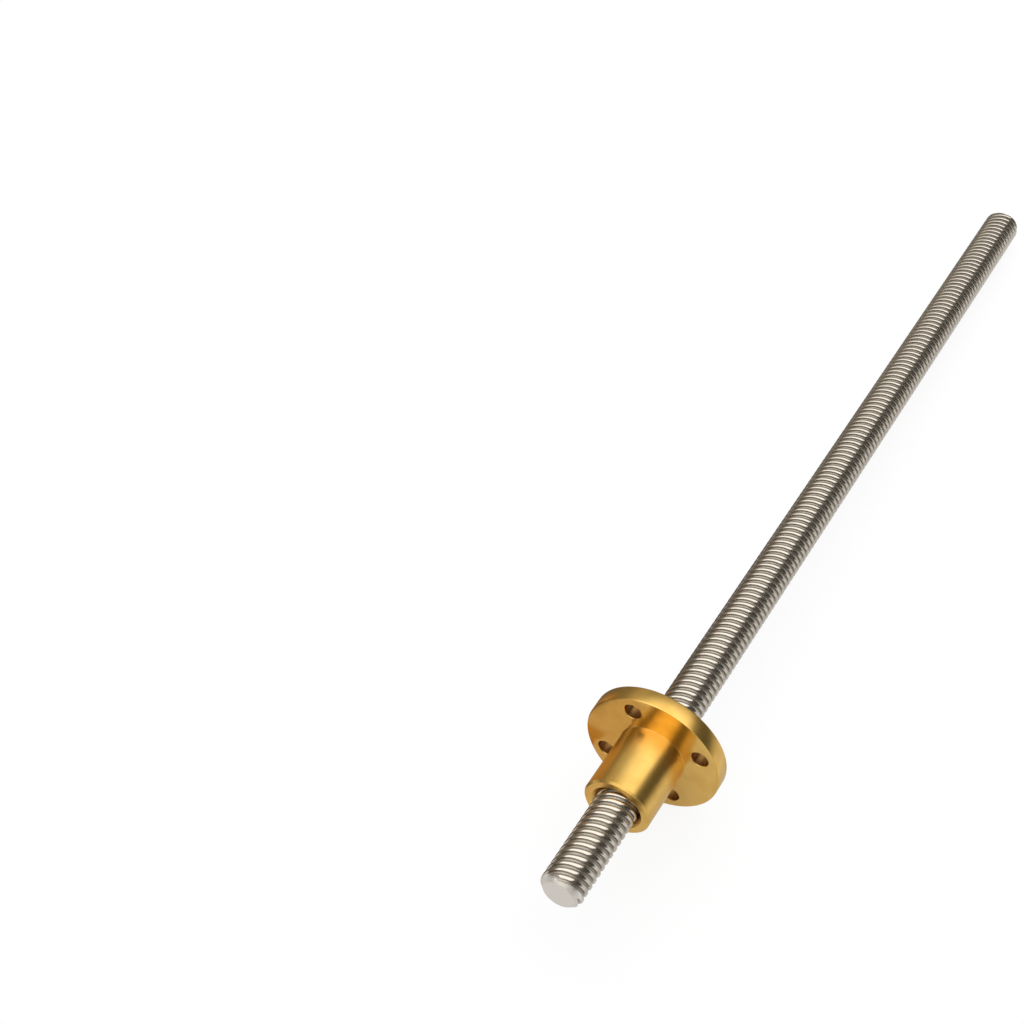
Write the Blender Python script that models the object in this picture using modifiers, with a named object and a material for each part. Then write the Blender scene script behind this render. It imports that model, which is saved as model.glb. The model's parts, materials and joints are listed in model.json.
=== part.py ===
"""Trapezoidal lead screw Tr11 x 8 (P2), four starts, with a flanged brass nut.

The screw lies on the ground along +X. It rests on the rim of the nut's
flange and on the crests of its far end, so its axis dips by about 2.9 degrees.
The round forms have flat sides, and both pieces are turned so that a flat
side faces the ground.
Each piece is modelled upright about its own Z axis and hangs from an empty
that carries the resting attitude.
"""
import math

import bmesh
import bpy
from mathutils import Matrix, Vector

MM = 0.001

# Screw
MAJOR_D = 11.0 * MM
PITCH = 2.0 * MM
STARTS = 4
LEAD = STARTS * PITCH
THREAD_DEPTH = 0.85 * MM
CREST_WIDTH = 0.96 * MM
FLANK_HALF_ANGLE = math.radians(15.0)
SCREW_LENGTH = 300.0 * MM
END_CHAMFER = 1.4 * MM
SIDES = 10
CREST_MIDDLE = 1.85 * MM

# Nut
NUT_OFFSET = 27.7 * MM
BARREL_D = 17.5 * MM
BARREL_LENGTH = 18.5 * MM
BARREL_BEVEL = 0.5 * MM
FLANGE_D = 36.0 * MM
FLANGE_THICKNESS = 4.5 * MM
FLANGE_BEVEL = 0.3 * MM
ROOT_FILLET = 0.3 * MM
BORE_CLEARANCE = 0.3 * MM
BORE_BEVEL = 1.2 * MM
HOLE_COUNT = 4
HOLE_D = 4.5 * MM
HOLE_OUTSET = 0.75 * MM
HOLE_CIRCLE_D = (BARREL_D + FLANGE_D) / 2 + HOLE_OUTSET
HOLE_START_ANGLE = math.radians(62.5)
TURNED_STEPS = 60

COLLECTION = "trapezoidal_lead_screw"
CUTTERS = "cutters"


def clear_scene():
    for obj in list(bpy.data.objects):
        bpy.data.objects.remove(obj, do_unlink=True)


def make_collection(name):
    col = bpy.data.collections.get(name)
    if col is None:
        col = bpy.data.collections.new(name)
        bpy.context.scene.collection.children.link(col)
    return col


def make_material(name, colour, roughness, metallic):
    mat = bpy.data.materials.new(name)
    mat.use_nodes = True
    mat.diffuse_color = (*colour, 1.0)
    bsdf = mat.node_tree.nodes["Principled BSDF"]
    bsdf.inputs["Base Color"].default_value = (*colour, 1.0)
    bsdf.inputs["Roughness"].default_value = roughness
    bsdf.inputs["Metallic"].default_value = metallic
    return mat


def steel_material():
    return make_material("screw_steel", (0.48, 0.45, 0.41), 0.25, 1.0)


def brass_material():
    return make_material("nut_brass", (0.80, 0.56, 0.27), 0.28, 1.0)


def thread_points():
    """Axial section of one thread ridge from its lower root corner: (z, radius)."""
    crest_r = MAJOR_D / 2
    root_r = crest_r - THREAD_DEPTH
    half_crest = CREST_WIDTH / 2
    half_root = half_crest + THREAD_DEPTH * math.tan(FLANK_HALF_ANGLE)
    return [
        (CREST_MIDDLE - half_root, root_r),
        (CREST_MIDDLE - half_crest, crest_r),
        (CREST_MIDDLE + half_crest, crest_r),
        (CREST_MIDDLE + half_root, root_r),
    ]


def thread_column(turns_z, angle, ridges):
    """The ridge corners along the screw at one angle round it."""
    lift = LEAD * angle / math.tau
    column = []
    for ridge in range(ridges):
        for z, radius in thread_points():
            height = turns_z + ridge * PITCH + z + lift
            column.append(Vector((radius * math.cos(angle), radius * math.sin(angle), height)))
    return column


def thread_blank_mesh():
    """A closed bar with four helical ridges, longer than the screw at both ends."""
    spare = 2 * STARTS
    ridges = round(SCREW_LENGTH / PITCH) + 2 * spare
    bottom = -spare * PITCH
    bm = bmesh.new()
    columns = []
    for side in range(SIDES):
        angle = math.tau * (side + 0.5) / SIDES
        columns.append([bm.verts.new(co) for co in thread_column(bottom, angle, ridges)])
    turn = 4 * STARTS
    rows = 4 * ridges
    last = rows - turn
    for side in range(SIDES):
        here = columns[side][:last]
        if side < SIDES - 1:
            after = columns[side + 1][:last]
        else:
            after = columns[0][turn:]
        for row in range(last - 1):
            bm.faces.new((here[row], after[row], after[row + 1], here[row + 1]))
    close_end(bm, columns, 0, turn, False)
    close_end(bm, columns, last - 1, turn, True)
    for column in columns[1:]:
        for vert in column[last:]:
            bm.verts.remove(vert)
    bmesh.ops.recalc_face_normals(bm, faces=bm.faces)
    mesh = bpy.data.meshes.new("thread_blank")
    bm.to_mesh(mesh)
    bm.free()
    return mesh


def close_end(bm, columns, row, turn, top):
    """Close one end with a fan from the axis and a step between the turns."""
    step = columns[0][row:row + turn + 1]
    ring = [column[row] for column in columns] + [columns[0][row + turn]]
    middle = step[-1].co.z if top else step[0].co.z
    axis = bm.verts.new((0.0, 0.0, middle))
    for first, second in zip(ring[:-1], ring[1:]):
        bm.faces.new((axis, first, second))
    bm.faces.new([axis] + step)


def turned(name, profile, col, steps, closed):
    """A profile in the XZ half-plane turned round Z with a Screw modifier."""
    mesh = bpy.data.meshes.new(name)
    edges = [(i, i + 1) for i in range(len(profile) - 1)]
    if closed:
        edges.append((len(profile) - 1, 0))
    mesh.from_pydata([(r, 0.0, z) for r, z in profile], edges, [])
    obj = bpy.data.objects.new(name, mesh)
    col.objects.link(obj)
    screw = obj.modifiers.new("turn", "SCREW")
    screw.axis = "Z"
    screw.steps = steps
    screw.render_steps = steps
    screw.use_merge_vertices = True
    screw.merge_threshold = 0.000005
    screw.use_normal_calculate = False
    return obj


def hide_cutter(obj):
    obj.hide_render = True
    obj.display_type = "WIRE"


def end_envelope(col):
    """The bar between the two faced and chamfered ends."""
    face_r = MAJOR_D / 2 - END_CHAMFER
    wide = MAJOR_D / 2 + 1.0 * MM
    rise = wide - face_r
    profile = [
        (0.0, SCREW_LENGTH),
        (face_r, SCREW_LENGTH),
        (wide, SCREW_LENGTH - rise),
        (wide, rise),
        (face_r, 0.0),
        (0.0, 0.0),
    ]
    obj = turned("end_envelope", profile, col, 2 * SIDES, False)
    hide_cutter(obj)
    return obj


def arc(centre_r, centre_z, radius, start, end, count):
    points = []
    for i in range(count + 1):
        a = math.radians(start + (end - start) * i / count)
        points.append((centre_r + radius * math.cos(a), centre_z + radius * math.sin(a)))
    return points


def nut_profile():
    """Section of the nut: barrel from z = 0, flange at the far side."""
    bore_r = MAJOR_D / 2 + BORE_CLEARANCE
    barrel_r = BARREL_D / 2
    flange_r = FLANGE_D / 2
    top = BARREL_LENGTH + FLANGE_THICKNESS
    profile = [
        (bore_r + BORE_BEVEL, top),
        (flange_r - FLANGE_BEVEL, top),
        (flange_r, top - FLANGE_BEVEL),
        (flange_r, BARREL_LENGTH + FLANGE_BEVEL),
        (flange_r - FLANGE_BEVEL, BARREL_LENGTH),
    ]
    fillet_z = BARREL_LENGTH - ROOT_FILLET
    profile += arc(barrel_r + ROOT_FILLET, fillet_z, ROOT_FILLET, 90.0, 180.0, 3)
    profile += [
        (barrel_r, BARREL_BEVEL),
        (barrel_r - BARREL_BEVEL, 0.0),
        (bore_r + BORE_BEVEL, 0.0),
        (bore_r, BORE_BEVEL),
        (bore_r, top - BORE_BEVEL),
    ]
    return profile


def hole_cutter(index, col):
    angle = HOLE_START_ANGLE + math.tau * index / HOLE_COUNT - math.pi / TURNED_STEPS
    radius = HOLE_CIRCLE_D / 2
    height = 2 * FLANGE_THICKNESS
    centre = (radius * math.cos(angle), radius * math.sin(angle), BARREL_LENGTH + FLANGE_THICKNESS / 2)
    bpy.ops.mesh.primitive_cylinder_add(vertices=24, radius=HOLE_D / 2, depth=height, location=centre)
    obj = bpy.context.object
    obj.name = f"flange_hole_cutter_{index + 1}"
    for other in list(obj.users_collection):
        other.objects.unlink(obj)
    col.objects.link(obj)
    hide_cutter(obj)
    return obj


def build_screw(col, cutters, axis):
    obj = bpy.data.objects.new("screw", thread_blank_mesh())
    col.objects.link(obj)
    obj.parent = axis
    envelope = end_envelope(cutters)
    envelope.parent = axis
    cut = obj.modifiers.new("faced_ends", "BOOLEAN")
    cut.operation = "INTERSECT"
    cut.object = envelope
    obj.data.materials.append(steel_material())
    return obj


def build_nut(col, cutters, axis):
    obj = turned("nut", nut_profile(), col, TURNED_STEPS, True)
    obj.parent = axis
    obj.location = (0.0, 0.0, NUT_OFFSET)
    obj.rotation_euler = (0.0, 0.0, math.pi / TURNED_STEPS)
    for index in range(HOLE_COUNT):
        cutter = hole_cutter(index, cutters)
        cutter.parent = obj
        cut = obj.modifiers.new(f"flange_hole_{index + 1}", "BOOLEAN")
        cut.operation = "DIFFERENCE"
        cut.object = cutter
    obj.data.materials.append(brass_material())
    return obj


def last_crest():
    """Height of the last full crest at the corners of the side that faces down."""
    limit = SCREW_LENGTH - END_CHAMFER
    lower, upper = [z for z, radius in thread_points()[1:3]]
    heights = []
    for angle in (-math.pi / SIDES, math.pi / SIDES):
        lift = LEAD * angle / math.tau
        ridge = math.floor((limit - lower - lift) / PITCH)
        heights.append(min(limit, upper + lift + ridge * PITCH))
    return max(heights)


def resting_attitude():
    """Dip of the axis and height of its near end, from the two places of contact."""
    rim_z = NUT_OFFSET + BARREL_LENGTH + FLANGE_THICKNESS - FLANGE_BEVEL
    rim_r = FLANGE_D / 2 * math.cos(math.pi / TURNED_STEPS)
    end_z = last_crest()
    end_r = MAJOR_D / 2 * math.cos(math.pi / SIDES)
    dip = math.atan2(rim_r - end_r, end_z - rim_z)
    height = end_z * math.sin(dip) + end_r * math.cos(dip)
    return dip, height


def screw_axis(col):
    dip, height = resting_attitude()
    axis = bpy.data.objects.new("screw_axis", None)
    axis.empty_display_size = 0.02
    col.objects.link(axis)
    axis.location = (-SCREW_LENGTH / 2 * math.cos(dip), 0.0, height)
    axis.rotation_euler = (0.0, math.pi / 2 + dip, 0.0)
    return axis


def smooth_round_faces(obj):
    mesh = obj.data
    mesh.shade_smooth()
    mesh.set_sharp_from_angle(angle=math.radians(25.0))


def main():
    clear_scene()
    col = make_collection(COLLECTION)
    cutters = make_collection(CUTTERS)
    axis = screw_axis(col)
    screw = build_screw(col, cutters, axis)
    nut = build_nut(col, cutters, axis)
    smooth_round_faces(screw)
    smooth_round_faces(nut)
    nut.modifiers["turn"].use_smooth_shade = True


main()
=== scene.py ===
# %% [markdown]
# # A trapezoidal lead screw with its flanged brass nut
#
# A lead screw turns rotation into travel. This one is a steel bar with four
# thread ridges rolled side by side along its whole length, and a brass nut
# turned from one bar, with a flange and four screw holes. The exact solids are
# already made, and this lesson dresses them: a fine thread, turned edges,
# metals that show how they were made, and the light of a small studio.
#
# Everything is in metres and in the part's own frame, so each piece lands
# where its solid is.

# %% Load the solid model
import json
import math

import bmesh
import bpy
import numpy as np
from mathutils import Matrix, Vector


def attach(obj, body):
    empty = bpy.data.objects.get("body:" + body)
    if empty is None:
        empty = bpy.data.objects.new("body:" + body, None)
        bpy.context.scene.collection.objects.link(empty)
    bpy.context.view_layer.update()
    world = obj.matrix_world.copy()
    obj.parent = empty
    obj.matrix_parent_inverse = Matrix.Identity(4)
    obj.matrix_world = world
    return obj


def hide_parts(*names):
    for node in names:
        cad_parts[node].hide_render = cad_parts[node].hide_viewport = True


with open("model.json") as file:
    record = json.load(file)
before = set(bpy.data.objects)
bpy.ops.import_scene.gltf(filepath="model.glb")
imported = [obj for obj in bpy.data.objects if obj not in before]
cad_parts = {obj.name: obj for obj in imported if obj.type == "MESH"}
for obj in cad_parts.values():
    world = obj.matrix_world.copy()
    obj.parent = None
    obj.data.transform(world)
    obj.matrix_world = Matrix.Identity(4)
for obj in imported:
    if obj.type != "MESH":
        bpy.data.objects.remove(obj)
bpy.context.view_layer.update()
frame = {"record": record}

# %% [markdown]
# ## The sizes
#
# A trapezoidal thread is named by its diameter, its lead and its pitch. The
# lead is how far the nut moves in a turn, and the pitch is the distance from
# one ridge to the next. With four ridges side by side, the lead is four pitches.
# The nut's place is measured from the end of the screw that is nearer to it.

# %% Sizes of the screw and the nut
MM = 0.001
MAJOR_R = 5.5 * MM
PITCH = 2.0 * MM
STARTS = 4
LEAD = STARTS * PITCH
THREAD_DEPTH = 0.85 * MM
CREST_WIDTH = 0.96 * MM
FLANK_SLOPE = math.tan(math.radians(15.0))
CREST_MIDDLE = 1.85 * MM
SCREW_LENGTH = 300.0 * MM
END_CHAMFER = 1.4 * MM

NUT_START = 27.7 * MM
BARREL_R = 8.75 * MM
BARREL_LENGTH = 18.5 * MM
FLANGE_R = 18.0 * MM
FLANGE_THICKNESS = 4.5 * MM
NUT_END = NUT_START + BARREL_LENGTH + FLANGE_THICKNESS
HOLE_R = 2.25 * MM
HOLE_CIRCLE_R = 13.75 * MM
HOLE_START_ANGLE = math.radians(62.5)
HOLES = 4
print("lead in mm:", LEAD / MM, "ridges along the screw:", round(SCREW_LENGTH / PITCH))

# %% [markdown]
# ## The attitude
#
# The screw lies on a table. One side rests on the rim of the flange and the
# other on the crest at its far end, so the axis dips a little. The joint of
# the solid model runs along that axis, so its direction is read from there
# and isn't typed in again. A piece is modelled upright about its own Z axis
# and then laid down with one matrix.

# %% Lay the axis down
joint = frame["record"]["behaviour"]["joints"][0]
axis = Vector(joint["axis"]).normalized()
faces = {mount["name"]: mount for mount in frame["record"]["mounts"]}
near_end = Vector(faces["near_end_face"]["pos_m"])
down = Vector((axis.z, 0.0, -axis.x)).normalized()
side = axis.cross(down)
lay = Matrix((down, side, axis)).transposed().to_4x4()
lay.translation = near_end
print("axis", axis[:], "near end", near_end[:])


def place(obj, body, slot, *nodes):
    """Lays a piece along the axis, ties it to its body and hides its solid; slot is not used."""
    obj.data.transform(lay)
    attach(obj, body)
    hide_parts(*nodes)


# %% [markdown]
# ## The camera
#
# The camera stands where the photograph was taken from: close to the end of
# the screw, looking down on it at about 48 degrees. The distance is short, so
# the far end looks much thinner than the near one. The lens was worked out
# from that thinning, from the ellipse of the flange and from the even pitch.

# %% Place the camera
CAMERA_AT = Vector((-322.2, -90.1, 370.5)) * MM
CAMERA_LOOK = Vector((0.57068, 0.33865, -0.74810))
CAMERA_LENS = 60.5
camera_data = bpy.data.cameras.new("camera")
camera_data.lens = CAMERA_LENS
camera_data.sensor_width = 36.0
camera_data.clip_start = 0.01
camera_data.clip_end = 20.0
camera = bpy.data.objects.new("camera", camera_data)
camera.location = CAMERA_AT
camera.rotation_euler = CAMERA_LOOK.to_track_quat("-Z", "Y").to_euler()
bpy.context.scene.collection.objects.link(camera)
bpy.context.scene.camera = camera
print("camera looks down by", round(math.degrees(math.asin(-CAMERA_LOOK.z)), 1), "degrees")

# %% [markdown]
# ## Shader maths in plain Python
#
# A procedural material is a formula. Wired by hand it takes dozens of Math
# nodes, so a small class wraps a socket and overloads the operators: `a * b`
# adds a Multiply node and returns its output.


# %% A socket that does arithmetic
class Value:
    """One number of a shader, which + - * / and ** turn into Math nodes."""

    def __init__(self, shader, socket):
        self.shader = shader
        self.socket = socket

    def maths(self, operation, *others):
        inputs = dict(enumerate((self, *others)))
        return self.shader.node("ShaderNodeMath", {"operation": operation}, inputs)

    def __add__(self, other):
        return self.maths("ADD", other)

    def __sub__(self, other):
        return self.maths("SUBTRACT", other)

    def __mul__(self, other):
        return self.maths("MULTIPLY", other)

    def __truediv__(self, other):
        return self.maths("DIVIDE", other)

    def __pow__(self, other):
        return self.maths("POWER", other)

    def __radd__(self, other):
        return self + other

    def __rmul__(self, other):
        return self * other

    def __rsub__(self, other):
        return self * -1.0 + other

    def fraction(self):
        return self.maths("FRACT")

    def step(self, low, high):
        """0 below low, 1 above high and smooth between them."""
        settings = {"interpolation_type": "SMOOTHSTEP"}
        inputs = {"Value": self, "From Min": low, "From Max": high}
        return self.shader.node("ShaderNodeMapRange", settings, inputs, "Result")


print("a socket can be added, multiplied and stepped")

# %% [markdown]
# ## Every other node
#
# Materials and the world are both trees of nodes. One method takes a node's
# type, its settings and the values or links of its sockets, so adding a node is
# always one line.


# %% Add nodes to a tree
class Nodes:
    """A node tree, and the one method that adds nodes to it."""

    def __init__(self, tree):
        self.tree = tree

    def node(self, kind, settings, inputs, output=0):
        node = self.tree.nodes.new(kind)
        for name, value in settings.items():
            setattr(node, name, value)
        for name, value in inputs.items():
            self.feed(node.inputs[name], value)
        return Value(self, node.outputs[output])

    def feed(self, socket, value):
        if isinstance(value, Value):
            self.tree.links.new(value.socket, socket)
        else:
            socket.default_value = value

    def ray(self, kind):
        """1 where a ray is of this kind, such as a ray that a mirror sends out."""
        return self.node("ShaderNodeLightPath", {}, {}, kind)


print("a tree of nodes can be built")

# %% [markdown]
# ## A material
#
# Marks on a turned or rolled piece follow its axis, but the axis here is
# tilted. A Mapping node of the Texture type takes the tilt and the place of the
# screw away again, so every formula sees the piece standing upright with its
# near end at zero, in millimetres.


# %% A material with its own coordinates
class Shader(Nodes):
    """A material with a Principled shader."""

    def __init__(self, name, **constants):
        self.material = bpy.data.materials.new(name)
        self.material.use_nodes = True
        super().__init__(self.material.node_tree)
        self.principled = self.tree.nodes["Principled BSDF"]
        for socket, value in constants.items():
            self.principled.inputs[socket].default_value = value

    def set(self, name, value):
        self.feed(self.principled.inputs[name], value)

    def coordinates(self, upright=True):
        """x, y and z in millimetres, along the screw's own axis or in the studio."""
        point = self.node("ShaderNodeTexCoord", {}, {}, "Object")
        if upright:
            inputs = {"Vector": point, "Location": near_end, "Rotation": lay.to_euler()}
            point = self.node("ShaderNodeMapping", {"vector_type": "TEXTURE"}, inputs)
        split = self.node("ShaderNodeSeparateXYZ", {}, {0: point})
        outputs = split.socket.node.outputs
        return [Value(self, outputs[i]) / MM for i in range(3)]

    def vector(self, x, y, z):
        return self.node("ShaderNodeCombineXYZ", {}, {0: x, 1: y, 2: z})

    def noise(self, point, scale=1.0, roughness=0.5):
        inputs = {"Vector": point, "Scale": scale, "Detail": 3.0, "Roughness": roughness}
        return self.node("ShaderNodeTexNoise", {"noise_dimensions": "3D"}, inputs)

    def mix(self, factor, first, second):
        """A colour between two colours."""
        inputs = {0: factor, 6: first, 7: second}
        return self.node("ShaderNodeMix", {"data_type": "RGBA"}, inputs, 2)

    def bump(self, height, distance):
        inputs = {"Height": height, "Distance": distance, "Strength": 1.0}
        self.set("Normal", self.node("ShaderNodeBump", {}, inputs))

    def surface(self, shader_value):
        """Takes the place of the Principled shader."""
        self.feed(self.tree.nodes["Material Output"].inputs["Surface"], shader_value)


print("a material can be made")

# %% [markdown]
# ## Rolled steel
#
# A lead screw's thread is usually rolled: hard dies press it into the bar, so
# the ridges are smooth and bright and faint marks run along them. The formula
# first finds where a point lies across a ridge. `turn` is how far round the
# axis it is, and taking that from its height leaves a number that repeats with
# each ridge. Marks that run along the ridge are then a noise that is stretched
# a lot one way.
#
# The grooves are painted darker, in uneven clouds, as painted shade. The nut
# polishes the flank that it presses on, so the flank behind the crest is
# rougher, and it is painted darker too, a painted shade that narrows the bright
# bar on each ridge. The ends are cut off and faced after rolling, so they are
# clean and pale.

# %% Colours and marks of the screw
# Lengths are in millimetres, as in the formulas, apart from the height of a bump.
# ROUGH_SHADED_FLANK is in pitches from the middle of a crest, and GROOVE_EDGE in thread depths.
STEEL = (0.66, 0.61, 0.54, 1.0)
# The colour of the painted shade in the grooves and on the flank behind each crest.
STEEL_SHADED = (0.30, 0.27, 0.225, 1.0)
STEEL_FACED = (0.80, 0.76, 0.70, 1.0)
MARK_LENGTH = 12.0
MARKS_PER_PITCH = 9.0
MARKS_PER_DEPTH = 3.0
MARK_HEIGHT = 0.004 * MM
STEEL_CLOUDS = 0.35
GROOVE_EDGE = 0.15
# The flank behind each crest is rougher, and it is also painted darker, a painted shade.
ROUGH_SHADED_FLANK = (0.18, 0.28)
REAR_FLANK_SHADE = 0.6
# How strong the painted shade is, varied in uneven clouds.
SHADE_STRENGTH = {"least": 0.5, "clouds": 0.4}
STEEL_ROUGH = {"polished": 0.12, "marks": 0.08, "clouds": 0.06, "rough_and_shaded": 0.28, "faced": 0.07}
FACED_EDGE = (0.03, 0.10)
# The printed figure is how much the painted shade darkens the steel.
print("painted shade darkens the steel by", round(1.0 - STEEL_SHADED[0] / STEEL[0], 2))


# %% The material of the screw
def faced_end(depth, radius):
    """1 on an end face and on its chamfer, 0 further in; depth is from the face."""
    behind_chamfer = depth - radius + (MAJOR_R - END_CHAMFER) / MM
    return 1.0 - depth.maths("MINIMUM", behind_chamfer).step(*FACED_EDGE)


def steel_material():
    shader = Shader("rolled_steel", Metallic=1.0)
    x, y, z = shader.coordinates()
    radius = (x * x + y * y) ** 0.5
    turn = y.maths("ARCTAN2", x) / math.tau
    across = z / (PITCH / MM) - turn * STARTS
    along = z / MARK_LENGTH
    streaks = shader.vector(across * MARKS_PER_PITCH, along, radius * MARKS_PER_DEPTH)
    marks = shader.noise(streaks)
    cloud = shader.noise(shader.vector(x, y, z), STEEL_CLOUDS)
    root_r = MAJOR_R - THREAD_DEPTH
    shoulder_r = MAJOR_R - GROOVE_EDGE * THREAD_DEPTH
    groove = 1.0 - radius.step(root_r / MM, shoulder_r / MM)
    from_crest = (across - CREST_MIDDLE / PITCH + 0.5).fraction() - 0.5
    # The flank behind each crest, and the grooves, are rougher and carry painted shade.
    rough_and_shaded = groove.maths("MAXIMUM", from_crest.step(*ROUGH_SHADED_FLANK))
    # Painted shade: the grooves and the flank behind each crest are painted darker, in uneven clouds.
    painted_shade = groove.maths("MAXIMUM", rough_and_shaded * REAR_FLANK_SHADE) * (cloud * SHADE_STRENGTH["clouds"] + SHADE_STRENGTH["least"])
    far_face = faced_end(SCREW_LENGTH / MM - z, radius)
    faced = faced_end(z, radius).maths("MAXIMUM", far_face)
    shader.set("Base Color", shader.mix(faced, shader.mix(painted_shade, STEEL, STEEL_SHADED), STEEL_FACED))
    worn = marks * STEEL_ROUGH["marks"] + cloud * STEEL_ROUGH["clouds"] + rough_and_shaded * STEEL_ROUGH["rough_and_shaded"]
    shader.set("Roughness", worn + STEEL_ROUGH["polished"] + faced * STEEL_ROUGH["faced"])
    shader.bump(marks, MARK_HEIGHT)
    return shader.material


steel = steel_material()
print("made", steel.name)

# %% [markdown]
# ## Turned brass
#
# The nut is turned on a lathe, and the tool leaves fine rings: round the
# barrel and the rim they run round the axis, and on the faces they are
# circles. Both come from one noise that hardly changes round the axis and
# changes fast along the radius and along the axis. The front of the flange is
# cut last, with a finer feed, so it mirrors the barrel. Nobody polishes the
# drilled holes and the tapped bore, so they are duller, and they are painted
# darker as well, a painted shade inside these hollows.

# %% Colours and rings of the nut
# Lengths are in millimetres here too, apart from the height of a bump.
BRASS = (0.86, 0.55, 0.15, 1.0)
BRASS_DEEP = (0.74, 0.43, 0.10, 1.0)
# The colour of the painted shade on the walls of the holes and in the bore.
BRASS_SHADED = (0.42, 0.22, 0.07, 1.0)
RINGS_PER_MM = 8.0
RING_WANDER = 0.3
RING_ROUGHNESS = 0.6
RING_HEIGHT = 0.012 * MM
BRASS_CLOUDS = 0.22
DEEP = {"from": 0.35, "to": 0.75, "most": 0.5}
FACE_EDGE = (0.02, 0.10)
FINE_FEED = 0.7
BORE_EDGE = (5.85, 6.3)
HOLE_EDGE = (0.03, 0.12)
BRASS_ROUGH = {"turned": 0.21, "rings": 0.10, "clouds": 0.08, "face": -0.15, "cut": 0.10}
print("rings are", 1.0 / RINGS_PER_MM, "mm apart")


# %% The material of the nut
def hole_wall(radius, turn):
    """1 on the walls of the screw holes, found by folding the four onto one."""
    fold = ((turn - HOLE_START_ANGLE) * (HOLES / math.tau) + 0.5).fraction() - 0.5
    angle = fold * (math.tau / HOLES)
    out = radius * angle.maths("COSINE") - HOLE_CIRCLE_R / MM
    along = radius * angle.maths("SINE")
    distance = (out * out + along * along) ** 0.5
    return 1.0 - distance.step(HOLE_R / MM + HOLE_EDGE[0], HOLE_R / MM + HOLE_EDGE[1])


def brass_material():
    shader = Shader("turned_brass", Metallic=1.0)
    x, y, z = shader.coordinates()
    radius = (x * x + y * y) ** 0.5
    turn = y.maths("ARCTAN2", x)
    circles = shader.vector(radius * RINGS_PER_MM, z * RINGS_PER_MM, turn * RING_WANDER)
    rings = shader.noise(circles, roughness=RING_ROUGHNESS)
    cloud = shader.noise(shader.vector(x, y, z), BRASS_CLOUDS)
    from_face = (z - (NUT_START + BARREL_LENGTH) / MM).maths("ABSOLUTE")
    face = 1.0 - from_face.step(*FACE_EDGE)
    bore = 1.0 - radius.step(*BORE_EDGE)
    # Painted shade in the holes and the bore, which are also rougher.
    rough_shaded_hollows = hole_wall(radius, turn).maths("MAXIMUM", bore)
    deep = cloud.step(DEEP["from"], DEEP["to"]) * DEEP["most"]
    shader.set("Base Color", shader.mix(rough_shaded_hollows, shader.mix(deep, BRASS, BRASS_DEEP), BRASS_SHADED))
    turned_finish = rings * BRASS_ROUGH["rings"] + cloud * BRASS_ROUGH["clouds"] + BRASS_ROUGH["turned"]
    shader.set("Roughness", turned_finish + face * BRASS_ROUGH["face"] + rough_shaded_hollows * BRASS_ROUGH["cut"])
    shader.bump(rings * (1.0 - face * FINE_FEED), RING_HEIGHT)
    return shader.material


brass = brass_material()
print("made", brass.name)

# %% [markdown]
# ## A helical ridge
#
# A thread is a loft: one section, carried round the axis and lifted as it
# goes. The section is a trapezium with leaning flanks. Its corners are rounded
# on the real screw, so each is cut off here, at half the angle between flank and
# root, and smooth shading makes the cut look round.

# %% The section of a ridge
ROUNDING_SLOPE = math.tan(math.radians(37.5))


def ridge_section(crest_r, root_r, grow, crest_round, root_round):
    """Corners (height, radius) across one ridge; grow widens both of its flanks."""
    half_crest = CREST_WIDTH / 2 - (crest_r - MAJOR_R) * FLANK_SLOPE + grow
    half_root = CREST_WIDTH / 2 + (MAJOR_R - root_r) * FLANK_SLOPE + grow
    root_rise = root_round * ROUNDING_SLOPE
    crest_drop = crest_round * ROUNDING_SLOPE
    half = [
        (half_root + root_round, root_r),
        (half_root - root_rise * FLANK_SLOPE, root_r + root_rise),
        (half_crest + crest_drop * FLANK_SLOPE, crest_r - crest_drop),
        (half_crest - crest_round, crest_r),
    ]
    lower = [(CREST_MIDDLE - z, r) for z, r in half]
    upper = [(CREST_MIDDLE + z, r) for z, r in reversed(half)]
    return lower + upper


print("a ridge widens by", round(2 * THREAD_DEPTH * FLANK_SLOPE / MM, 2), "mm down to its root")

# %% [markdown]
# ## Four ridges round a bar
#
# No modifier closes a bar that has four ridges and ends cleanly, so the mesh is
# built by hand. Each column holds the corners of every ridge at one angle, the
# next column is a little higher, and after a full turn the last column meets
# the first one four ridges up. Both ends stay rough, because they are cut off
# afterwards.


# %% The corners of the ridges
def thread_columns(section, first, ridges, sides):
    """One column of corners for each angle; the first reaches up by a turn more."""
    heights = np.array([[(first + i) * PITCH + z for z, r in section] for i in range(ridges)]).ravel()
    radii = np.tile([r for z, r in section], ridges)
    turn = STARTS * len(section)
    columns = []
    for side in range(sides):
        angle = math.tau * side / sides
        lift = LEAD * side / sides
        column = np.stack([radii * math.cos(angle), radii * math.sin(angle), heights + lift], axis=1)
        columns.append(column if side == 0 else column[:-turn])
    return columns


print("each column is lifted, by", LEAD / MM, "mm in a turn")


# %% A closed bar
END_SPARE = 2 * STARTS


def rough_end(points, starts, row, turn, top):
    """A fan from the axis, and a wall where the end has climbed by one turn."""
    wall = list(range(row, row + turn + 1))
    ring = [start + row for start in starts] + [row + turn]
    centre = len(points)
    points.append((0.0, 0.0, points[wall[-1] if top else wall[0]][2]))
    faces = [(centre, b, a) for a, b in zip(ring[:-1], ring[1:])] + [(centre, *wall)]
    return [face[::-1] for face in faces] if top else faces


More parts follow.
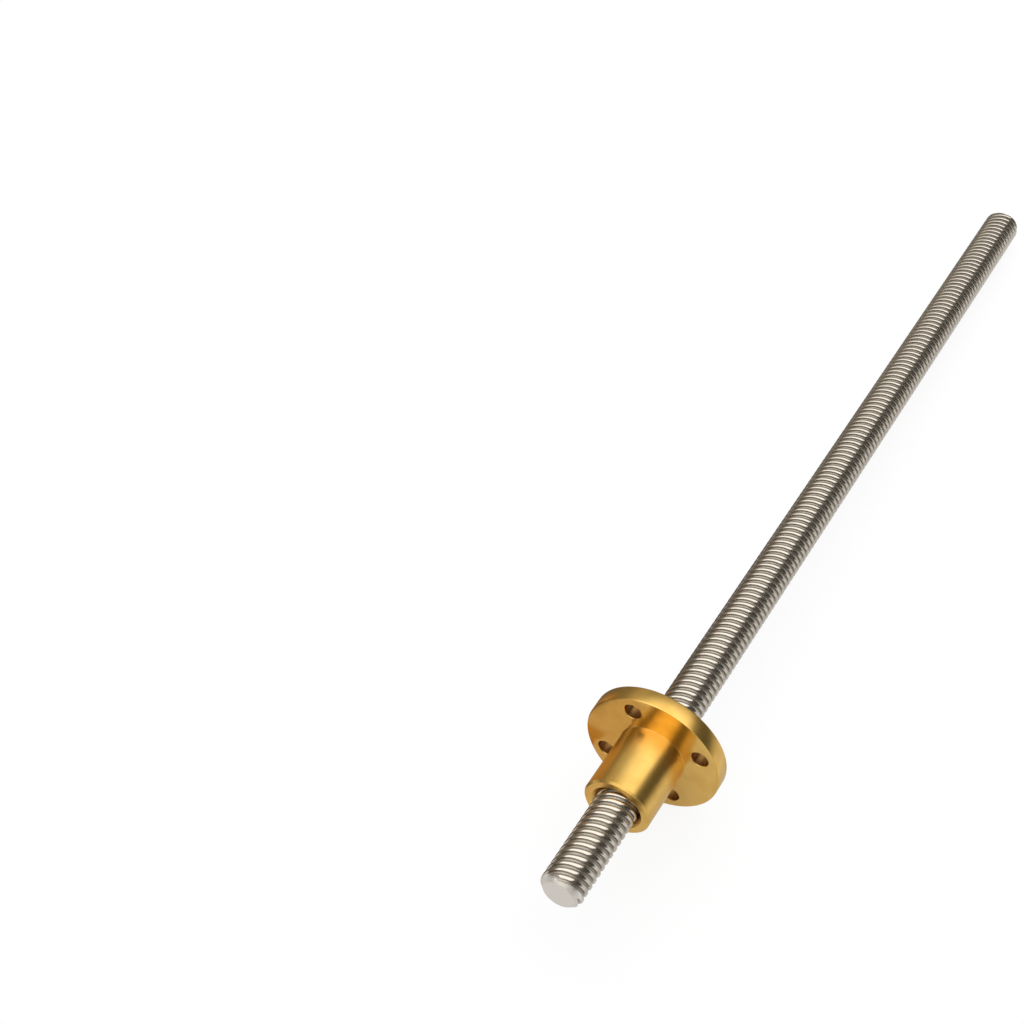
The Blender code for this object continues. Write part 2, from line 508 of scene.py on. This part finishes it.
def threaded_bar(name, section, low, high, sides):
    """A closed bar that reaches beyond low and high, with its section carried round."""
    first = math.floor(low / PITCH) - END_SPARE
    ridges = math.ceil(high / PITCH) + END_SPARE - first
    columns = thread_columns(section, first, ridges, sides)
    turn = STARTS * len(section)
    last = len(columns[-1])
    starts = np.cumsum([0] + [len(column) for column in columns[:-1]]).tolist()
    points = np.concatenate(columns).tolist()
    faces = []
    for here, after in zip(starts, starts[1:] + [turn]):
        faces += [(here + i, after + i, after + i + 1, here + i + 1) for i in range(last - 1)]
    faces += rough_end(points, starts, 0, turn, top=False)
    faces += rough_end(points, starts, last - 1, turn, top=True)
    mesh = bpy.data.meshes.new(name)
    mesh.from_pydata(points, [], faces)
    mesh.validate()
    obj = bpy.data.objects.new(name, mesh)
    bpy.context.scene.collection.objects.link(obj)
    print(name, len(mesh.polygons), "faces")
    return obj


# %% [markdown]
# ## Turned shapes
#
# A lathe turns a profile round an axis, and so does the Screw modifier. A
# profile is a list of corners, each a radius and a height, and `arc` adds the
# round stretches.

# %% Turn a profile
TURN_MERGE = 0.002 * MM


def arc(centre_r, centre_z, radius, start, end, count):
    """Points on an arc of a profile, angles in degrees."""
    points = []
    for i in range(count + 1):
        a = math.radians(start + (end - start) * i / count)
        points.append((centre_r + radius * math.cos(a), centre_z + radius * math.sin(a)))
    return points


def settle(obj):
    """Turns an object's modifiers into its mesh."""
    graph = bpy.context.evaluated_depsgraph_get()
    mesh = bpy.data.meshes.new_from_object(obj.evaluated_get(graph))
    obj.modifiers.clear()
    obj.data = mesh


def turned(name, profile, steps, closed=False):
    """A profile, outer side from top to bottom, turned round Z."""
    mesh = bpy.data.meshes.new(name)
    edges = [(i, i + 1) for i in range(len(profile) - 1)]
    if closed:
        edges.append((len(profile) - 1, 0))
    mesh.from_pydata([(r, 0.0, z) for r, z in profile], edges, [])
    obj = bpy.data.objects.new(name, mesh)
    bpy.context.scene.collection.objects.link(obj)
    screw = obj.modifiers.new("turn", "SCREW")
    screw.steps = steps
    screw.render_steps = steps
    screw.use_merge_vertices = True
    screw.merge_threshold = TURN_MERGE
    settle(obj)
    return obj


print("a turned shape closes where its corners are within", TURN_MERGE / MM, "mm")

# %% [markdown]
# ## Cuts
#
# What is drilled, faced or tapped is cut with Booleans, as on the real machine:
# the ends of the bar are faced and chamfered in one cut, the flange is drilled
# four times, and the nut is tapped with a bar that is slightly larger than the
# screw, which leaves the running clearance. Where two surfaces meet at a narrow
# angle, a Boolean leaves slivers that are too thin to see. They are welded, so
# that the mesh is clean.

# %% Cut, weld and shade
CUT_SPARE = 1.0 * MM
WELD = 0.001 * MM


def cut(obj, tool, operation="DIFFERENCE"):
    """Cuts obj with tool, which is used up."""
    boolean = obj.modifiers.new("cut", "BOOLEAN")
    boolean.operation = operation
    boolean.object = tool
    settle(obj)
    bpy.data.objects.remove(tool, do_unlink=True)


def weld(obj):
    """Joins the corners that a Boolean leaves closer together than WELD."""
    shape = bmesh.new()
    shape.from_mesh(obj.data)
    bmesh.ops.remove_doubles(shape, verts=shape.verts, dist=WELD)
    bmesh.ops.dissolve_degenerate(shape, edges=shape.edges, dist=WELD)
    shape.to_mesh(obj.data)
    shape.free()


def finish_surface(obj, material, sharp_degrees):
    """One material, smooth shading and sharp edges where faces meet at an angle."""
    weld(obj)
    obj.data.materials.clear()
    obj.data.materials.append(material)
    obj.data.shade_smooth()
    obj.data.set_sharp_from_angle(angle=math.radians(sharp_degrees))
    triangles = sum(len(p.vertices) - 2 for p in obj.data.polygons)
    print(obj.name, triangles, "triangles")


print("cuts reach", CUT_SPARE / MM, "mm beyond a piece")

# %% [markdown]
# ## The screw
#
# The bar is cut to length, faced flat and chamfered, and the chamfer runs out
# through the ridges, which leaves the small scalloped edge that can be seen at
# the end.

# %% Make the screw
SCREW_SIDES = 72
END_STEPS = 96
CREST_ROUND = 0.20 * MM
ROOT_ROUND = 0.26 * MM
SCREW_SHARP = 40.0


def make_screw():
    section = ridge_section(MAJOR_R, MAJOR_R - THREAD_DEPTH, 0.0, CREST_ROUND, ROOT_ROUND)
    bar = threaded_bar("threaded_screw", section, 0.0, SCREW_LENGTH, SCREW_SIDES)
    face_r = MAJOR_R - END_CHAMFER
    wide = MAJOR_R + CUT_SPARE
    rise = wide - face_r
    profile = [
        (0.0, SCREW_LENGTH),
        (face_r, SCREW_LENGTH),
        (wide, SCREW_LENGTH - rise),
        (wide, rise),
        (face_r, 0.0),
        (0.0, 0.0),
    ]
    cut(bar, turned("ends", profile, END_STEPS), "INTERSECT")
    finish_surface(bar, steel, SCREW_SHARP)
    place(bar, "screw", "screw_steel", "screw")


make_screw()

# %% [markdown]
# ## The nut
#
# Barrel and flange are one turning. Its edges are broken by the tool, and a
# small radius joins the barrel to the flange. The bore is turned with them, and
# it stays smaller than the thread that is cut into it at the end.

# %% The turned body of the nut
NUT_STEPS = 128
BORE_R = 4.9 * MM
BORE_MOUTH_R = 6.7 * MM
BARREL_BEVEL = 0.5 * MM
RIM_BEVEL = 0.3 * MM
ROOT_FILLET = 0.1 * MM


def nut_profile():
    shelf = NUT_START + BARREL_LENGTH
    rim_r = FLANGE_R - RIM_BEVEL
    profile = [(BORE_MOUTH_R, NUT_END)]
    profile += arc(rim_r, NUT_END - RIM_BEVEL, RIM_BEVEL, 90.0, 0.0, 3)
    profile += arc(rim_r, shelf + RIM_BEVEL, RIM_BEVEL, 0.0, -90.0, 3)
    profile += arc(BARREL_R + ROOT_FILLET, shelf - ROOT_FILLET, ROOT_FILLET, 90.0, 180.0, 5)
    profile += [
        (BARREL_R, NUT_START + BARREL_BEVEL),
        (BARREL_R - BARREL_BEVEL, NUT_START),
        (BORE_MOUTH_R, NUT_START),
        (BORE_R, NUT_START + BORE_MOUTH_R - BORE_R),
        (BORE_R, NUT_END - BORE_MOUTH_R + BORE_R),
    ]
    return profile


nut = turned("flanged_nut", nut_profile(), NUT_STEPS, closed=True)
print("turned", nut.name)

# %% [markdown]
# ## The screw holes
#
# Four holes take the screws that fix the nut to whatever it moves. A drill is a
# turned shape too. It widens at both faces of the flange, so the edge of each
# hole is broken by a small lip, and the lip catches the light as a thin ring.

# %% Drill the flange
HOLE_LIP = 0.15 * MM
DRILL_STEPS = 48


def drill(angle):
    """A drill for one screw hole, widening at both faces of the flange."""
    low = NUT_START + BARREL_LENGTH
    wide = HOLE_R + HOLE_LIP + CUT_SPARE
    profile = [
        (0.0, NUT_END + CUT_SPARE),
        (wide, NUT_END + CUT_SPARE),
        (HOLE_R, NUT_END - HOLE_LIP),
        (HOLE_R, low + HOLE_LIP),
        (wide, low - CUT_SPARE),
        (0.0, low - CUT_SPARE),
    ]
    obj = turned("drill", profile, DRILL_STEPS)
    obj.location = (HOLE_CIRCLE_R * math.cos(angle), HOLE_CIRCLE_R * math.sin(angle), 0.0)
    return obj


for i in range(HOLES):
    cut(nut, drill(HOLE_START_ANGLE + math.tau * i / HOLES))
print("drilled", HOLES, "holes")

# %% [markdown]
# ## The tapped bore
#
# A tap is a screw that cuts, so the function that makes the screw makes the tap
# as well. It is a little larger on every side, and that is the clearance in
# which the nut runs.

# %% Tap the bore and finish the nut
TAP_CREST_R = 5.75 * MM
TAP_ROOT_R = 4.7 * MM
TAP_GROW = 0.05 * MM
TAP_ROUND = 0.04 * MM
TAP_SIDES = 64
NUT_SHARP = 30.0
tap_section = ridge_section(TAP_CREST_R, TAP_ROOT_R, TAP_GROW, TAP_ROUND, TAP_ROUND)
cut(nut, threaded_bar("tap", tap_section, NUT_START, NUT_END, TAP_SIDES))
finish_surface(nut, brass, NUT_SHARP)
place(nut, "nut", "nut_brass", "nut")

# %% [markdown]
# ## The studio
#
# Polished metal shows the room more than itself, so the room is made first:
# a floor, a wide panel overhead and a few cards. Each is one plane with four
# corners.

# %% Planes for the stage
FLOOR_Z = -0.25 * MM
FLOOR_SPAN = 3.0


def plane(name, corners, material):
    mesh = bpy.data.meshes.new(name)
    mesh.from_pydata(corners, [], [(0, 1, 2, 3)])
    mesh.materials.append(material)
    obj = bpy.data.objects.new(name, mesh)
    bpy.context.scene.collection.objects.link(obj)
    print("stage:", name)
    return obj


def flat_plane(name, x, y, z, material):
    """A level plane; x and y are its two ends."""
    corners = [(x[0], y[0], z), (x[1], y[0], z), (x[1], y[1], z), (x[0], y[1], z)]
    return plane(name, corners, material)


def wall_plane(name, x, y, z, material):
    """An upright plane along the screw; x and z are its two ends."""
    corners = [(x[0], y, z[0]), (x[1], y, z[0]), (x[1], y, z[1]), (x[0], y, z[1])]
    return plane(name, corners, material)


def cross_plane(name, x, y, z, material):
    """An upright plane across the screw; y and z are its two ends."""
    corners = [(x, y[0], z[0]), (x, y[1], z[0]), (x, y[1], z[1]), (x, y[0], z[1])]
    return plane(name, corners, material)


# %% [markdown]
# ## The floor
#
# A white background isn't made with more light, because that would bleach the
# metal. Light Path tells which ray asks. The floor is grey for the light that it
# throws back on the object and white for the camera. For the camera most of it
# is also a plain white glow, and the rest keeps a soft shadow. Mirrors and glass
# see a share of that glow too.

# %% Make the floor
WHITE = (1.0, 1.0, 1.0, 1.0)
FLOOR_GREY = (0.68, 0.68, 0.68, 1.0)
CAMERA_SHARE = 0.9
MIRROR_SHARE = 0.3


def floor_material():
    shader = Shader("white_floor", Roughness=0.9)
    seen = shader.ray("Is Camera Ray")
    mirrored = shader.ray("Is Glossy Ray") + shader.ray("Is Transmission Ray")
    shader.set("Base Color", shader.mix(seen, FLOOR_GREY, WHITE))
    plain = Value(shader, shader.principled.outputs[0])
    glow = shader.node("ShaderNodeEmission", {}, {"Color": WHITE, "Strength": 1.0})
    share = seen * CAMERA_SHARE + mirrored * MIRROR_SHARE
    shader.surface(shader.node("ShaderNodeMixShader", {}, {0: share, 1: plain, 2: glow}))
    return shader.material


flat_plane("floor", (-FLOOR_SPAN, FLOOR_SPAN), (-FLOOR_SPAN, FLOOR_SPAN), FLOOR_Z, floor_material())

# %% [markdown]
# ## The panel
#
# The wide soft panel gives the broad bright band along the screw and the
# barrel. It is brightest over the near end and fades toward the far one, at a
# slant, so the band gets darker and narrower with distance. Only reflections
# see it, so it throws no light of its own on the floor.


# %% Hang the panel
def card_material(name, colour, levels, fade=(0.0, 1.0), slant=0.0, rise=0.0):
    """A glow that goes from one level to another along the screw, at a slant or upward."""
    shader = Shader(name)
    x, y, z = shader.coordinates(upright=False)
    faded = (x + y * slant + z * rise).step(fade[0] / MM, fade[1] / MM)
    near, far = [[channel * level for channel in colour] + [1.0] for level in levels]
    glow = {"Color": shader.mix(faded, near, far), "Strength": 1.0}
    shader.surface(shader.node("ShaderNodeEmission", {}, glow))
    return shader.material


def only_reflected(obj):
    obj.visible_camera = False
    obj.visible_diffuse = False
    obj.visible_shadow = False


ROOM_X = (-1.4, 2.4)
ROOM_Y = (-0.66, 1.25)
PANEL_Z = 0.75
PANEL_COLOUR = (1.0, 0.985, 0.96)
panel_glow = card_material("panel_glow", PANEL_COLOUR, (1.6, 0.2), fade=(0.2, 1.0), slant=0.5)
only_reflected(flat_plane("soft_panel", ROOM_X, ROOM_Y, PANEL_Z, panel_glow))

# %% [markdown]
# ## The dark cards
#
# Bright metal looks like metal only next to something dark. A tall card on the
# right gives the dark band that runs along the screw, and two more close the
# room at its ends. A dimmer card on the left keeps that side of the thread
# grey brown. It gets brighter upward, so the bright bars of the thread fade out
# round the bar and don't end at a line. A low gold card beside the nut gives the
# warm edge there.

# %% Stand the cards up
RIGHT_CARD = {"x": (-1.0, ROOM_X[1]), "y": -0.5, "z": (0.03, 0.61)}
LEFT_CARD = {"x": (-1.0, ROOM_X[1]), "y": 0.4, "z": (0.0, 0.36)}
GOLD_CARD = {"x": (-0.10, -0.08), "y": 0.045, "z": (0.0, 0.03)}
NEAR_CARD = {"x": ROOM_X[0], "y": ROOM_Y, "z": (0.15, PANEL_Z)}
FAR_CARD = {"x": ROOM_X[1], "y": ROOM_Y, "z": (0.0, PANEL_Z)}
DARK = (1.0, 0.95, 0.86)
WARM = (1.0, 0.90, 0.76)
GOLD = (1.0, 0.58, 0.20)
dark_glow = card_material("dark_glow", DARK, (0.065, 0.065))
dim_glow = card_material("dim_glow", WARM, (0.17, 0.60), fade=(0.5, 2.6), rise=6.0)
gold_glow = card_material("gold_glow", GOLD, (0.48, 0.48))
only_reflected(wall_plane("right_card", **RIGHT_CARD, material=dark_glow))
only_reflected(wall_plane("left_card", **LEFT_CARD, material=dim_glow))
only_reflected(wall_plane("gold_card", **GOLD_CARD, material=gold_glow))
only_reflected(cross_plane("far_card", **FAR_CARD, material=dark_glow))
only_reflected(cross_plane("near_card", **NEAR_CARD, material=dark_glow))

# %% [markdown]
# ## The table in reflections
#
# The lower half of a round bar mirrors the table beside it. A white table
# would make both edges of the screw vanish into the background, so reflections
# see a toned table: brown on the left, pale grey on the right, and gold and tan
# next to the nut, which warms its rim and its flange. A pale strip close to the
# screw keeps the underside of its right edge light.

# %% Lay the toned table
LEFT_EDGE = 0.012
NEAR_END_X = (-0.15, -0.10)
TONE_Z = 0.2 * MM
GOLD_TONE_Z = 0.4 * MM
TAN = (1.0, 0.82, 0.64)
PALE = (1.0, 0.97, 0.92)
table_glow = card_material("table_glow", WARM, (0.14, 0.26), fade=(-0.1, 0.2))
tan_glow = card_material("tan_glow", TAN, (0.6, 0.6))
pale_glow = card_material("pale_glow", PALE, (0.72, 0.55), fade=(-0.05, 0.1))
edge_glow = card_material("edge_glow", PALE, (0.62, 0.62))


def lay_tone(name, glow, x, y, z=TONE_Z):
    only_reflected(flat_plane(name, x, y, z, glow))


lay_tone("left_table", table_glow, x=(NEAR_END_X[1], ROOM_X[1]), y=(LEFT_EDGE, 0.4))
lay_tone("near_table", table_glow, x=NEAR_END_X, y=(0.03, 0.4))
lay_tone("tan_table", tan_glow, x=NEAR_END_X, y=(LEFT_EDGE, 0.03))
lay_tone("right_table", pale_glow, x=(-0.05, ROOM_X[1]), y=(-2.0, -0.1))
lay_tone("edge_table", edge_glow, x=(NEAR_END_X[0], ROOM_X[1]), y=(-0.04, -0.016))
lay_tone("gold_table", gold_glow, x=(-0.115, -0.085), y=(0.02, 0.045), z=GOLD_TONE_Z)

# %% [markdown]
# ## The lamp and the world
#
# One large soft lamp and a pale world light the object at a plain level, so a
# colour renders about as it is written. Reflections don't see the lamp: the
# panel takes its place there. The world is white to the camera, to mirrors and
# to glass, and dimmer as a source of light.

# %% Light the object
AMBIENT = 0.55
LAMP_AT = (0.25, 0.15, 0.74)
LAMP_SIZE = 1.3
LAMP_POWER = 7.0


def overhead_lamp():
    light = bpy.data.lights.new("overhead_lamp", "AREA")
    light.size = LAMP_SIZE
    light.energy = LAMP_POWER
    obj = bpy.data.objects.new("overhead_lamp", light)
    obj.location = LAMP_AT
    obj.rotation_euler = (-Vector(LAMP_AT)).to_track_quat("-Z", "Y").to_euler()
    obj.visible_glossy = False
    bpy.context.scene.collection.objects.link(obj)


def studio_world():
    world = bpy.data.worlds.new("studio")
    bpy.context.scene.world = world
    world.use_nodes = True
    nodes = Nodes(world.node_tree)
    background = world.node_tree.nodes["Background"]
    nodes.feed(background.inputs["Color"], WHITE)
    seen = nodes.ray("Is Camera Ray") + nodes.ray("Is Glossy Ray") + nodes.ray("Is Transmission Ray")
    nodes.feed(background.inputs["Strength"], seen * (1.0 - AMBIENT) + AMBIENT)


overhead_lamp()
studio_world()
bpy.context.scene.view_settings.view_transform = "Standard"
print("lamp of", LAMP_POWER, "W and a world of", AMBIENT)
